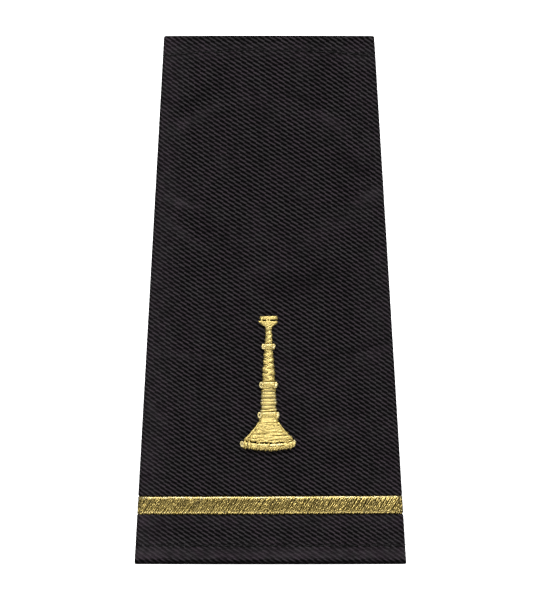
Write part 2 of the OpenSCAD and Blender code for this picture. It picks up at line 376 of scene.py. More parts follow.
class Finish:
    """A material being wired: node() adds any node with its settings and its inputs."""

    def __init__(self, name):
        self.material = bpy.data.materials.new(name)
        self.material.use_nodes = True
        self.tree = self.material.node_tree
        self.tree.nodes.clear()

    def node(self, kind, inputs, output=0, **settings):
        node = self.tree.nodes.new(kind)
        for key, value in settings.items():
            setattr(node, key, value)
        for key, value in inputs.items():
            join(self.tree, value, node.inputs[key])
        return Wire(self.tree, node.outputs[output]) if node.outputs else None

    def marks(self):
        """The three numbers that each piece holds at its points."""
        vector = self.node("ShaderNodeAttribute", {}, output="Vector", attribute_name="cloth")
        split = self.node("ShaderNodeSeparateXYZ", {0: vector}).socket.node
        return [Wire(self.tree, socket) for socket in split.outputs]

    def at(self, x, y, z=0.0):
        """A place for a texture."""
        return self.node("ShaderNodeCombineXYZ", {0: x, 1: y, 2: z})

    def noise(self, vector, scale, detail=2.0, roughness=0.5):
        """Smooth noise from 0 to 1."""
        inputs = {"Vector": vector, "Scale": scale, "Detail": detail, "Roughness": roughness}
        return self.node("ShaderNodeTexNoise", inputs)

    def step(self, value, low, high, to_low=0.0, to_high=1.0):
        """A smooth step between two values, as the input goes from low to high."""
        inputs = {0: value, 1: low, 2: high, 3: to_low, 4: to_high}
        return self.node("ShaderNodeMapRange", inputs, interpolation_type="SMOOTHSTEP")

    def mix(self, factor, first, second):
        """A colour between two, each a wire or a plain (red, green, blue)."""
        inputs = {0: factor, 6: opaque(first), 7: opaque(second)}
        return self.node("ShaderNodeMix", inputs, output=2, data_type="RGBA")

    def scaled(self, colour, factor):
        """A colour times a number."""
        return self.node("ShaderNodeVectorMath", {0: colour, "Scale": factor}, operation="SCALE")

    def bump(self, height, distance, strength):
        """A normal that follows a height, whose full range is the distance."""
        inputs = {"Height": height, "Distance": distance, "Strength": strength}
        return self.node("ShaderNodeBump", inputs)

    def surface(self, **inputs):
        """The shader, with each input's name in words joined by underscores."""
        named = {key.replace("_", " "): value for key, value in inputs.items()}
        shader = self.node("ShaderNodeBsdfPrincipled", named)
        self.node("ShaderNodeOutputMaterial", {0: shader})
        return self.material


def twill(name, light, dark, contrast, relief):
    """Black twill. The marks are the cloth's own length across and along, so the ribs follow it
    round folds and over mouths, and its painted shade: above 0 it is painted darker, as shade, and
    below 0 its ribs are flattened and it is painted lighter. Each rib is a row of short
    overlapping dashes of yarn, and the valleys between the ribs are painted darker, as shade."""
    finish = Finish(name)
    across, along, shade = finish.marks()
    phase = (across * RIB_NORMAL[0] + along * RIB_NORMAL[1]) / RIB_PITCH
    rib = phase.floor()
    offset = finish.node("ShaderNodeTexWhiteNoise", {"W": rib}, noise_dimensions="1D")
    run = (across * RIB_ALONG[0] + along * RIB_ALONG[1]) / DASH_L + rib * 0.37 + offset * 0.35
    place = run.fraction()
    own = finish.node("ShaderNodeTexWhiteNoise", {"Vector": finish.at(rib, run.floor())},
                      noise_dimensions="3D")
    # Painted shade: the colour is darker in the valleys between the ribs and lighter on their
    # ridges
    lean = phase.fraction() - (place - 0.5) * 0.2
    ridge = finish.step(1 - abs(lean * 2 - 1), 0.32, 1.0)
    ends = finish.step(abs(place * 2 - 1), 0.7, 1.0)
    fibre = finish.noise(finish.at(across, along), 9000.0, 3.0, 0.6)
    streak = finish.noise(finish.at(run * 0.8, rib * 5.3), 1.0, 2.0, 0.6)
    cloud = finish.noise(finish.at(across, along), 150.0, 3.0, 0.6)
    tint = finish.noise(finish.at(across, along, 0.4), 260.0, 2.0, 0.6)
    yarn = ridge * (1 - ends * 0.3)
    faded = finish.noise(finish.at(across, along, 0.9), 120.0, 3.0, 0.6)
    # Painted light and shade from the shade mark: below 0 the ribs' painted shade is flattened and
    # the cloth lighter, above 0 it is darker
    flat = shade.least(0.0) * -0.35 + finish.step(faded, 0.45, 0.7) * 0.08
    level = (yarn + (0.7 - yarn) * flat) * (1 + flat * 0.25)
    level = level * (0.9 + own * 0.2) * (0.75 + fibre * 0.5) * (1 - shade.most(0.0) * 0.85)
    level = level * finish.step(streak, 0.25, 0.75, 0.72, 1.28)
    level = level * finish.step(cloud, 0.3, 0.7, 1 - contrast, 1 + contrast)
    warm = tuple(value * more for value, more in zip(light, (1.10, 0.96, 1.07)))
    tinted = finish.mix(finish.step(tint, 0.35, 0.65), light, warm)
    colour = finish.mix(level.least(1.6), dark, tinted)
    return finish.surface(Base_Color=colour, Roughness=0.85, Specular_IOR_Level=0.03,
                          Normal=finish.bump(yarn + fibre * 0.25, relief, 0.5))


def gold_thread(name, bright, deep, pale, metal, rough, fuzz, coat):
    """Gold embroidery thread: filaments that run along it with a slight twist. Each stitch's mark
    makes it lighter or darker: below 0 it is painted darker, as shadow, and above 1 it is painted
    pale in patches, as a highlight."""
    finish = Finish(name)
    along, own, around = finish.marks()
    twist = finish.at(along * 0.08, along * 0.2 + around, own * 0.01)
    filament = finish.noise(twist, 22000.0, 1.0)
    patch = finish.noise(finish.at(along, own * 0.003), 900.0, 1.0)
    level = own * 0.45 + finish.step(filament, 0.3, 0.7) * 0.25
    level = level + finish.step(patch, 0.35, 0.65) * 0.4
    colour = finish.mix(level.least(1.0), deep, bright)
    # Below 0 a mark paints the thread darker, as shadow
    colour = finish.scaled(colour, own.least(0.0) + 1)
    # Above 1 a mark paints the thread pale in patches, as a highlight
    lightening = finish.noise(finish.at(along, own * 0.01, 0.3), 1300.0, 1.0)
    highlight_share = (own.most(1.0) - 1) * finish.step(lightening, 0.3, 0.7, 0.2, 1.8)
    return finish.surface(Base_Color=finish.mix(highlight_share, colour, pale), Metallic=metal,
                          Roughness=rough, Coat_Weight=coat, Coat_Roughness=0.32,
                          Normal=finish.bump(filament, 0.05 * MM, fuzz))


def black_thread():
    """Black sewing thread with a faint shine on its twist."""
    finish = Finish("black_thread")
    along, own, around = finish.marks()
    ply = (along / (0.5 * MM) + around / ROUND_L).wave()
    colour = finish.mix(own * 0.6 + ply * 0.2 + 0.2, (0.002, 0.002, 0.002),
                        (0.008, 0.0075, 0.008))
    return finish.surface(Base_Color=colour, Roughness=0.6, Specular_IOR_Level=0.1,
                          Normal=finish.bump(ply, 0.04 * MM, 0.4))


# The sleeve

def outer_relief(s, y, length):
    """How far the outer face stands off its plain form: grooves and puckers along the stitches,
    a soft puff between each groove and its mouth, the stripe's recess, creases and faint waves."""
    t = np.abs(s)
    relief = np.zeros(np.broadcast(s, y).shape)
    for mouth in MOUTHS:
        off_line = y - stitch_y(s, mouth)
        pucker = PUCKER_H * np.cos(2 * math.pi * length / STITCH_PITCH)
        groove = (GROOVE_D + pucker) * bump_at(off_line, GROOVE_W)
        relief = relief - groove * np.clip(1.5 - t, 0.35, 1)
        relief = relief + 0.5 * pucker * bump_at(off_line, PUFF_W)
        onto_hem = np.clip((mouth * off_line + 0.8 * MM) / (0.7 * MM), 0, 1)
        relief = relief + HEM_STEP * onto_hem * np.clip((FRONT_END - t) * 6, 0, 1)
    recess = RECESS_D * np.clip((FOLD_END - t) * 2, 0, 1)
    edge = np.clip((STRIPE_HALF + 0.3 * MM - np.abs(y - STRIPE_Y)) / (0.3 * MM), 0, 1)
    relief = relief - recess * edge + CREASE_H * creases(length, y)
    waves = (np.sin(y / (5.1 * MM) + length / (13 * MM)),
             np.sin(y / (9.7 * MM) - length / (6.3 * MM) + 2),
             np.sin(length / (4.4 * MM) + y / (16 * MM) + 4))
    return relief + WAVE_H * (sum(waves) - len(waves)) * (t <= FRONT_END)


def outer_rows(s, reach):
    """Lengths y of the outer mesh's rows, which lie along the ribs, five to a rib: row j's y
    solves across * n0 + y * n1 = phase j * pitch, n being the direction square to the ribs. What
    passes a mouth is held back to it."""
    top = (cloth_length(SEAM, 0.0) * RIB_NORMAL[0] * 1.1 + HALF_L * RIB_NORMAL[1]) / RIB_PITCH
    ribs = np.arange(-math.ceil(top), math.ceil(top) + 1)
    phase = (ribs[:, None] + RIB_ROWS).reshape(1, -1)
    y = np.zeros((len(s), phase.size))
    for _ in range(4):
        y = (phase * RIB_PITCH - cloth_length(s, y) * RIB_NORMAL[0]) / RIB_NORMAL[1]
        y = np.clip(y, -reach, reach)
    return np.where(np.abs(y) > reach - 0.02 * MM, np.sign(y) * reach, y)


def outer_face(s, y, reach):
    """The outer face and its marks: between ribs it sinks by the square of the way from a rib's
    middle, and it is smoother at the mouths and over the folds."""
    across = cloth_length(s, y)
    place = (across * RIB_NORMAL[0] + y * RIB_NORMAL[1]) / RIB_PITCH % 1
    rib = RIB_H * np.square(2 * place - 1)
    fade = np.clip((reach - np.abs(y)) / (0.5 * MM), 0.08, 1)
    on_fold = (np.abs(s) > FRONT_END) & (np.abs(s) < FOLD_END)
    fade = fade * np.where(on_fold, 0.2, 1.0)
    points, _ = on_board(s, y, outer_relief(s, y, across) - rib * fade)
    return points, np.stack([across, y, outer_shade(s, y, across)], -1)


def outer_shade(s, y, across):
    """The outer face's painted shade: dots of painted shade in the stitches' grooves and painted
    shade on the turned edges at the mouths, less what is painted lighter: painted light over the
    hems, along the stitches, down both flanks and on the creases, whose hollows are painted
    darker, and a lighter band below the stripe."""
    # Painted shade: dark dots in the stitches' grooves, darkest at the needle holes
    holes = 0.4 + 0.35 * np.cos(2 * math.pi * across / STITCH_PITCH + 2.4)
    dots = sum(bump_at(y - stitch_y(s, mouth), 0.22 * MM) for mouth in MOUTHS) * holes
    # The creases are painted lighter and darker, as light and shade, and a band below the stripe
    # is lighter
    lightening = creases(across, y) + STRIPE_LIGHTENING * bump_at(y - STRIPE_Y + 2.6 * MM, 1.9 * MM)
    # Painted light over the hems and along the stitches, where the cloth puffs up toward the light
    for mouth in MOUTHS:
        off_line = y - stitch_y(s, mouth)
        lightening = lightening + np.clip((mouth * off_line - 0.1 * MM) / (1.2 * MM), 0, HEM_PAINTED_LIGHT[mouth])
        lightening = lightening + LINE_PAINTED_LIGHT * bump_at(off_line, 1.2 * MM)
    # Painted light down both flanks, where the front curves round and catches more light
    flank = np.where(s < 0, *FLANK_PAINTED_LIGHT)
    lightening = lightening + flank * np.clip(1 - np.abs(np.abs(s) - 1.05) / 0.35, 0, 1)
    # Painted shade at both mouths, where the cloth rounds over
    wide_turn = np.clip((-y - HALF_L + 1.35 * MM) / (0.8 * MM), 0, 1)
    narrow_turn = np.clip((y - HALF_L + 1.6 * MM) / (0.8 * MM), 0, 1)
    return dots - lightening * (1 - wide_turn) + 0.9 * wide_turn + 0.2 * narrow_turn


def rim(s, reach, rim_r, mouth):
    """The rim at a mouth and its marks: a half circle from the outer face to the lining, which is
    squarer over the folds."""
    turn = np.linspace(0, math.pi, RIM_ROWS + 2)[1:-1]
    power = np.where((np.abs(s) > 0.9) & (np.abs(s) < FOLD_END), 0.6, 1.0)
    y = mouth * (reach + rim_r * np.sin(turn) ** power)
    cosine = np.sign(np.cos(turn)) * np.abs(np.cos(turn)) ** power
    points, _ = on_board(s, y, -rim_r * (1 - cosine))
    # Its mark paints the rim darker, as shade where the cloth rounds over
    round_rim = mouth * (reach + rim_r * turn)
    return points, np.stack([cloth_length(s, y), round_rim, np.full_like(y, RIM_SHADE[mouth])], -1)


def lining(s, reach, rim_r):
    """The lining and its marks: straight rows, with a step where each hem ends and a low swell
    behind the stripe."""
    edge = HALF_L - HEM_L
    inside = np.broadcast_to(np.linspace(edge, -edge, LINING_ROWS), (len(s), LINING_ROWS))
    near = edge + (reach - edge) * HEM_ROWS
    y = np.concatenate([near, inside, -near[:, ::-1]], axis=1)
    hem = np.clip((np.abs(y) - edge) / (0.45 * MM), 0, 1)
    swell = RECESS_D * np.clip(1 - np.abs(y - STRIPE_Y) / (2.4 * MM), 0, 1)
    swell = swell * (np.abs(s) < FRONT_END) * (hem == 0)
    points, _ = on_board(s, y, -(CLOTH_T + HEM_EXTRA * hem_share(s) * hem + swell))
    turned = np.sign(y) * (reach + math.pi * rim_r + reach - np.abs(y))
    # Its mark paints the lining darker, as shade inside the sleeve
    return points, np.stack([cloth_length(s, y), turned, np.full_like(y, LINING_SHADE)], -1)


def skin(points, marks, first, last, held_rows):
    """A closed skin over a grid (columns, rows), whose last row meets its first. Among the held
    rows, a column's points before its first and after its last are that same point, so the
    triangles that they flatten are left out. The end columns close with a polygon each."""
    columns, rows = points.shape[:2]
    kept = np.broadcast_to(np.arange(rows), (columns, rows)).copy()
    kept[:, :held_rows] = np.clip(kept[:, :held_rows], first, last)
    number = np.arange(columns)[:, None] * rows + kept
    after = np.roll(number, -1, axis=1)
    quads = np.stack([number[:-1], number[1:], after[1:], after[:-1]], -1).reshape(-1, 4)
    halves = np.concatenate([quads[:, [0, 1, 2]], quads[:, [0, 2, 3]]])
    halves = halves[(halves != np.roll(halves, 1, axis=1)).all(axis=1)]
    ends = [list(dict.fromkeys(number[0].tolist())),
            list(dict.fromkeys(number[-1].tolist()))[::-1]]
    used, index = np.unique(halves, return_inverse=True)
    lookup = np.zeros(columns * rows, int)
    lookup[used] = np.arange(len(used))
    faces = [index.reshape(-1, 3)] + [lookup[np.array([end])] for end in ends]
    return points.reshape(-1, 3)[used], faces, marks.reshape(-1, 3)[used]


def sleeve_parts():
    """The wall as one closed skin round a grid of stations and rows: the outer face, the narrow
    mouth's rim, the lining and the wide mouth's rim."""
    half = np.concatenate([np.linspace(0, FRONT_END, FRONT_COLS, endpoint=False),
                           np.linspace(FRONT_END, FOLD_END, FOLD_COLS, endpoint=False),
                           np.linspace(FOLD_END, SEAM, BACK_COLS)])
    s = np.concatenate([-half[:0:-1], half])[:, None]
    rim_r = (CLOTH_T + HEM_EXTRA * hem_share(s)) / 2
    reach = HALF_L - rim_r
    y = outer_rows(s, reach)
    wide_rim = [block[:, ::-1] for block in rim(s, reach, rim_r, -1)]
    blocks = [outer_face(s, y, reach), rim(s, reach, rim_r, 1), lining(s, reach, rim_r), wide_rim]
    points, marks = [np.concatenate(group, axis=1) for group in zip(*blocks)]
    first = (y <= -reach).sum(1, keepdims=True) - 1
    last = y.shape[1] - (y >= reach).sum(1, keepdims=True)
    return skin(points, marks, first, last, y.shape[1])


def hem_stitches():
    """Rows of running stitches along both mouths' grooves, all the way round the board."""
    parts = []
    for mouth in MOUTHS:
        end = float(cloth_length(STITCHES_END, mouth * HALF_L))
        starts = np.arange(-end, end - STITCH_L, STITCH_PITCH)
        share = np.linspace(0, 1, 9)
        length = starts[:, None] + share * STITCH_L
        y = mouth * (HALF_L - STITCH_LINE[mouth])
        s = station_at(length, y)
        line = stitch_y(s, mouth) + rng.normal(0, 0.04 * MM, (len(starts), 1))
        arch = 1 - (2 * share - 1) ** 4
        on_front = np.abs(s) < FOLD_END - 0.5
        out = (0.08 * MM + HEM_STEP * on_front) * arch - GROOVE_D - STITCH_DIP
        points, up = on_board(s, line, out)
        parts.append(threads(points, up, SEWING_R, 0.11 * MM, rng.random(len(starts))))
    return parts


def seam_stitches():
    """Slanted stitches that draw the two edges together down the middle of the back."""
    y0 = np.arange(-HALF_L + 1.5 * MM, HALF_L - 2.5 * MM, SEAM_PITCH)
    share = np.linspace(-1, 1, 11)
    x = 1.1 * MM * share + np.zeros((len(y0), 1))
    y = y0[:, None] + 0.55 * MM * share
    z = 0.25 * MM - 0.13 * MM * (1 - share ** 4) + np.zeros_like(x)
    points = np.stack([x, y, z], -1)
    return [threads(points, (0.0, 0.0, -1.0), SEWING_R, 0.1 * MM, rng.random(len(y0)))]


# The stripe

# Its layers of stitches: slant, lift, pitch, the least mark and how much more a mark may be. The
# under layer's low marks paint it darker, as shade under the upper threads.
STRIPE_LAYERS = [(-0.9 * MM, 0.0, 0.5 * MM, -0.48, 0.2),
                 (2.3 * MM, 0.11 * MM, 0.46 * MM, 0.0, 0.9)]
STRIPE_TILT = 0.1 * MM   # how much higher its right end lies than its middle


def stripe_parts():
    """A padded band, two layers of slanted stitches over it and a cord along each edge."""
    end = float(cloth_length(STRIPE_END, STRIPE_Y))
    layers = [stripe_layer(end, *layer) for layer in STRIPE_LAYERS]
    return [stripe_band(end), *layers, stripe_cords(end)]


def stripe_band(end):
    """The padding under the stitches: a low flat arch, lower still round the folds."""
    s = station_at(np.linspace(-end, end, 160), STRIPE_Y)[:, None]
    v = np.linspace(-1, 1, 13)
    y = STRIPE_Y + v * (STRIPE_HALF - 0.15 * MM)
    rise = 0.14 * MM + 0.12 * MM * (np.abs(s) < 0.985)
    crown, _ = on_board(s, y, rise * arch_at(v, 4) - RECESS_D)
    under, _ = on_board(s, y[::-1], -RECESS_D - 0.07 * MM)
    # Its mark paints the padding darker, as shade under the stitches
    return loft(np.concatenate([crown, under], axis=1)[:, ::-1], -0.6)


def stripe_layer(end, slant, lift, pitch, least, more):
    """A layer of slanted stitches. Each rises out of the cloth at the stripe's lower edge,
    crosses to the upper one, and dives in again, with small dips where the needle caught it.
    The marks rise near both edges, where they paint the threads lighter, as a highlight."""
    foot = np.arange(-end, end, pitch)
    count = len(foot)
    foot = foot + rng.normal(0, 0.06 * MM, count)
    share = np.linspace(-1, 1, 21)
    reach = STRIPE_HALF + rng.normal(0, 0.04 * MM, (count, 2))
    lean = slant * (1 + rng.normal(0, 0.1, (count, 1)))
    length = np.clip(foot[:, None] + lean * share / 2, -end, end)
    y = STRIPE_Y + share * np.where(share < 0, reach[:, :1], reach[:, 1:])
    y = y + 0.03 * MM + STRIPE_TILT * foot[:, None] / end
    s = station_at(length, STRIPE_Y)
    catch = rng.uniform(-0.75, 0.75, (count, 3))
    dips = sum(bump_at(share - catch[:, k:k + 1], 0.09) for k in range(3))
    on_front = np.clip((FRONT_END + 0.1 - np.abs(s)) * 8, 0, 1)
    arch = arch_at(share, 3.5)
    out = (0.08 + 0.26 * on_front) * MM * arch - RECESS_D - 0.11 * MM * dips
    out = out + lift * arch * (0.4 + 0.6 * on_front)
    out = out + rng.normal(0, 0.035 * MM, (count, 1))
    points, up = on_board(s, y, out)
    own = least + more * rng.random((count, 1))
    # Painted highlights along the stripe's upper and lower edges
    glow = 0.6 * np.clip((share - 0.62) / 0.3, 0, 1) + bump_at(share + 0.73, 0.2)
    marks = own + glow * (1.1 - own if lift else 0.9)
    return threads(points, up, STRIPE_R, THREAD_H, marks)


def stripe_cords(end):
    """A cord along the lower edge, painted darker as shade, and one along the upper, painted pale
    as a highlight, both wavering a little.
    """
    length = np.linspace(-end, end, 420) * np.ones((2, 1))
    edge = np.array([[-1.0], [1.0]]) * (STRIPE_HALF - 0.16 * MM) + np.array([[0.18], [0.0]]) * MM
    y = STRIPE_Y + edge + 0.03 * MM * np.sin(length / (1.7 * MM)) + STRIPE_TILT * length / end
    s = station_at(length, STRIPE_Y)
    out = np.array([[-0.02], [0.03]]) * MM - 0.12 * MM * (np.abs(s) > FRONT_END)
    out = out + 0.03 * MM * np.sin(length / (0.9 * MM) + 2 * np.sin(length / (3.1 * MM)))
    points, up = on_board(s, y, out)
    # The marks paint the lower cord darker, as shade, and the upper one pale, as a highlight
    return threads(points, up, 0.17 * MM, THREAD_H, np.array([-0.3, 1.25]))


# The trumpet, whose tables and functions are in mm: drop is how far a place lies below its top

DROP, SPREAD, RISE, SAG = range(4)

# The padded fields that cross the trumpet: drop, half width, thickness and sag
TRUMPET_FIELDS = {
    "neck": [(2.35, 0.68, 0.45, 0), (2.70, 0.70, 0.60, 0), (3.80, 0.66, 0.62, 0),
             (5.10, 0.76, 0.60, 0), (5.45, 0.74, 0.45, 0)],
    "upper_ring": [(5.55, 1.15, 0.40, 0), (5.75, 1.42, 0.75, 0), (6.20, 1.40, 0.80, 0),
                   (6.50, 1.15, 0.70, 0), (6.70, 1.00, 0.45, 0)],
    "upper_tube": [(6.80, 0.88, 0.45, 0), (7.10, 0.94, 0.65, 0), (10.00, 1.12, 0.70, 0),
                   (12.70, 1.28, 0.65, 0), (13.00, 1.22, 0.45, 0)],
    "middle_ring": [(13.10, 1.55, 0.40, 0), (13.32, 1.86, 0.80, 0), (13.85, 1.88, 0.85, 0),
                    (14.20, 1.64, 0.75, 0), (14.45, 1.50, 0.45, 0)],
    "lower_tube": [(14.55, 1.40, 0.45, 0), (14.85, 1.46, 0.72, 0), (17.00, 1.52, 0.76, 0),
                   (18.75, 1.60, 0.72, 0), (19.00, 1.56, 0.45, 0)],
    "lower_ring": [(19.10, 1.90, 0.40, 0), (19.32, 2.20, 0.85, 0), (19.85, 2.22, 0.88, 0),
                   (20.25, 1.98, 0.72, 0), (20.75, 1.90, 0.74, 0), (21.00, 1.84, 0.45, 0)],
    "bell": [(21.10, 2.05, 0.45, 0), (21.35, 2.18, 0.72, 0), (22.00, 2.60, 0.78, 0),
             (22.80, 3.28, 0.82, 0), (23.60, 3.92, 0.82, 0.05), (24.35, 4.72, 0.78, 0.2),
             (24.66, 5.03, 0.66, 0.3)],
}

# Each ring's half width and the drop of its lower edge
RINGS = {"upper_ring": (1.42, 6.62), "middle_ring": (1.88, 14.3), "lower_ring": (2.22, 20.3)}

# A ring's four bars of stitches, from the top one down: height and mark. The marks paint the top
# bar pale, as a highlight, and the lower ones darker, as shade.
RING_BARS = np.array([(0.70, 1.15), (0.60, 0.5), (0.50, 0.0), (0.46, -0.2)])

# The rows of stitches below the lower ring's bars: drop, half width, slope and height
LOWER_RING_ROWS = np.array([(20.42, 1.86, 0.04, 0.52), (20.72, 1.84, -0.03, 0.52),
                            (20.98, 1.80, 0.02, 0.52)])

# How each field is stitched, layer by layer: the pitch of its rows, their slope, whether every
# other row slopes the other way, the lift, the marks of the threads that lie side by side in a
# row, how much more a mark may be, and how far the marks rise at the rows' ends. The marks paint a
# row's upper threads lighter, as light, and its lower ones and most under layers darker, as shade,
# and the rise at the ends is a painted highlight.
SATIN = {
    "neck": [(0.40, 0.10, True, -0.12, [-0.28], 0.1, 0.0),
             (1.02, 0.75, False, 0.06, [0.88, 0.68, -0.3], 0.2, 0.3)],
    "upper_tube": [(0.40, 0.15, True, -0.12, [-0.2], 0.1, 0.0),
                   (0.70, 0.50, True, 0.03, [0.63, -0.15], 0.3, 0.3)],
    "lower_tube": [(0.42, 0.03, False, -0.12, [-0.35], 0.1, 0.0),
                   (0.68, 0.03, False, 0.03, [0.55, -0.46], 0.25, 0.8)],
    "bell": [(0.34, 0.05, True, -0.06, [0.1], 0.1, 0.0),
             (0.34, 0.06, True, 0.0, [0.0], 1.0, 0.0)],
}
BUNDLE_STEP = 0.27   # between the threads that lie side by side in a row

# The mouthpiece's rows: drop, half width, sag, slope, height and mark. The first three are the
# bar, the next five the bowl below a slit, and the rest lie in the dark under both, their marks
# painting them darker, as shade.
MOUTHPIECE_ROWS = [
    (0.24, 1.66, 0.00, 0.02, 0.42, 0.4), (0.38, 1.72, 0.00, -0.02, 0.50, 0.4),
    (0.52, 1.72, 0.02, 0.01, 0.46, 0.4),
    (1.20, 1.72, 0.03, 0.00, 0.46, 0.4), (1.36, 1.64, 0.08, 0.02, 0.50, 0.4),
    (1.48, 1.48, 0.20, 0.00, 0.50, 0.4), (1.56, 1.25, 0.40, 0.03, 0.46, 0.4),
    (1.62, 1.00, 0.60, 0.00, 0.40, 0.4),
    (0.30, 1.60, 0.00, 0.00, 0.26, -0.5), (0.44, 1.66, 0.00, 0.00, 0.26, -0.5),
    (1.26, 1.66, 0.05, 0.00, 0.26, -0.5), (1.42, 1.54, 0.12, 0.00, 0.26, -0.5),
    (1.54, 1.32, 0.30, 0.00, 0.24, -0.5), (1.62, 1.00, 0.45, 0.00, 0.20, -0.5),
]

# Its ties: x and drop of the start, then of the end. The last is the loose end at the left.
MOUTHPIECE_TIES = np.array([(-0.55, 0.45, -0.15, 1.15), (0.05, 1.12, 0.30, 0.42),
                            (-1.45, 0.35, -1.30, 1.2), (-1.20, 1.2, -1.95, 1.12)])

# The bell's lip: half its spread, drop of its middle line, half its breadth, thickness
LIP = [(0.00, 26.05, 0.62, 0.82), (1.20, 26.02, 0.62, 0.82), (2.40, 25.92, 0.62, 0.82),
       (3.50, 25.78, 0.60, 0.82), (4.50, 25.60, 0.60, 0.84), (5.15, 25.42, 0.66, 0.88),
       (5.50, 25.32, 0.60, 0.70), (5.65, 25.28, 0.42, 0.40)]
LIP_WIDE = LIP[-1][0] - 0.5

# Its four cords: the place between its upper edge, -1, and its lower one, the height, the mark.
# The marks paint the upper cord lighter, as light, and the lower ones darker, as shade.
LIP_CORDS = [(-0.62, 0.64, 0.9), (-0.2, 0.58, 0.1), (0.22, 0.5, -0.2), (0.6, 0.36, -0.4)]
LIP_TIE_X = np.array([-3.9, -2.3, -1.9, 0.9, 1.25, 3.7])

MOUND_DEPTH = 0.2   # of the padding in the cloth


def field_at(table, drop):
    """Half width, thickness and sag of a field at a drop, read off between its rows."""
    rows = np.array(table)
    return [np.interp(drop, rows[:, DROP], rows[:, k]) for k in (SPREAD, RISE, SAG)]


def laid(x, drop, height, half_breadth, half_height, marks):
    """Threads over the trumpet, through places across it, drops and heights off the cloth. Only
    the threads' own half breadth and half height are metres."""
    x, drop, height = np.broadcast_arrays(x, drop, height)
    centres = front_point(TRUMPET_X + x * MM, TRUMPET_TOP - drop * MM, height * MM)
    return threads(centres, (0.0, 0.0, 1.0), half_breadth, half_height, marks)


def mound(x, drop, height):
    """Loops for a low solid: each runs over the mound's top and back under it in the cloth."""
    x, y = np.broadcast_arrays(TRUMPET_X + x * MM, TRUMPET_TOP - drop * MM)
    top = front_point(x, y, height * MM)
    bottom = front_point(x[:, ::-1], y[:, ::-1], -MOUND_DEPTH * MM)
    return np.concatenate([top, bottom], axis=1)


def padding(table):
    """The padding under a field: a low dome between its side edges, sunk a little in the cloth."""
    rows = np.array(table)
    drop = np.linspace(rows[0, DROP] + 0.06, rows[-1, DROP] - 0.06, 24)[:, None]
    spread, rise, sag = field_at(table, drop)
    u = -np.cos(np.linspace(0, math.pi, 13))
    height = 0.02 + (rise - 0.25) * np.sqrt(1 - u ** 2) * 0.9
    loops = mound(u * spread * 0.94, drop + sag * (1 - u * u), height)
    # Its mark paints the padding darker, as shade under the stitches
    return loft(loops[:, ::-1], -0.5)


def stitch_rows(drop, half, sag, slope, height, marks=None, dips=0, sway=0.0, glow=0.0):
    """Stitches from side to side over the trumpet: each is centred at its drop, hangs by its sag
    in the middle, and arches up to its height. A dip is a catch of the needle. The marks, random
    if none are given, rise by the glow at the ends, a painted highlight."""
    columns = np.broadcast_arrays(drop, half, sag, slope, height)
    drop, half, sag, slope, height = [column.reshape(-1, 1) for column in columns]
    u = np.linspace(-1, 1, 21)
    x = u * half
    y = drop + sag * (1 - u * u) - slope * x
    y = y + sway * np.sin(2.3 * x + 2 * math.pi * rng.random(drop.shape))
    out = -0.14 + (height + 0.14) * arch_at(u)
    for _ in range(dips):
        catch = rng.uniform(-0.9, 0.9, drop.shape) * half
        out = out - 0.17 * bump_at(x - catch, 0.25)
    marks = rng.random(len(drop)) if marks is None else marks
    # The glow paints the rows' ends lighter, as a highlight
    marks = np.reshape(marks, (-1, 1)) + glow * np.clip((np.abs(u) - 0.55) / 0.35, 0, 1)
    return laid(x, y, out, THREAD_R, THREAD_H, marks)


def satin_rows(name):
    """A field's stitches, layer by layer, one under the other down the field. Those of the bell
    are evener at their ends, sway more and are caught by the needle."""
    table = TRUMPET_FIELDS[name]
    dips, sway, loose = (4, 0.07, 0.02) if name == "bell" else (0, 0.02, 0.06)
    top, low = table[0][DROP] + 0.04, table[-1][DROP] - 0.04
    layers = []
    for pitch, slope, zigzag, lift, row_marks, more, glow in SATIN[name]:
        bundle = len(row_marks)
        beside = (np.arange(bundle) - (bundle - 1) / 2) * BUNDLE_STEP
        inset = 0.2 if lift < 0 else 0.0
        rows = round((low - top - 2 * inset) / pitch) + 1
        drop = np.linspace(top + inset - beside[0], low - inset - beside[-1], rows)
        drop = drop + rng.normal(0, 0.04, rows)
        slopes = slope * (1 + rng.normal(0, 0.2, rows)) + rng.normal(0, 0.03, rows)
        if zigzag:
            slopes = slopes * np.where(np.arange(rows) % 2, 1, -1)
        drop = (drop[:, None] + beside).ravel()
        spread, rise, sag = field_at(table, drop)
        half = spread - 0.16 + rng.normal(0, loose, len(drop))
        reach = np.minimum(drop - top + 0.12, low - drop + 0.12)
        slopes = np.clip(np.repeat(slopes, bundle), -reach / half, reach / half)
        height = rise - 0.2 + lift + rng.normal(0, 0.03, len(drop))
        # The row marks paint a row's upper threads lighter, as light, and its lower ones and the
        # under layers darker, as shade
        marks = np.tile(row_marks, rows) + rng.random(len(drop)) * more
        layers.append(stitch_rows(drop, half, sag, slopes, height, marks, dips, sway, glow))
    return layers


def mouthpiece_parts():
    """A bar over a slit over a bowl of sagging stitches, with ties that close parts of the slit
    and a loose end at the left."""
    drop, half, sag, slope, height, marks = np.array(MOUTHPIECE_ROWS).T
    rows = stitch_rows(drop, half, sag, slope, height, marks, dips=1)
    t = np.linspace(0, 1, 11)
    start, end = MOUTHPIECE_TIES[:, :2, None], MOUTHPIECE_TIES[:, 2:, None]
    places = start + (end - start) * t
    height = 0.30 + 0.22 * np.sin(math.pi * t)
    return [rows, laid(places[:, 0], places[:, 1], height, THREAD_R * 0.85, 0.14 * MM,
                       rng.random(len(places)))]


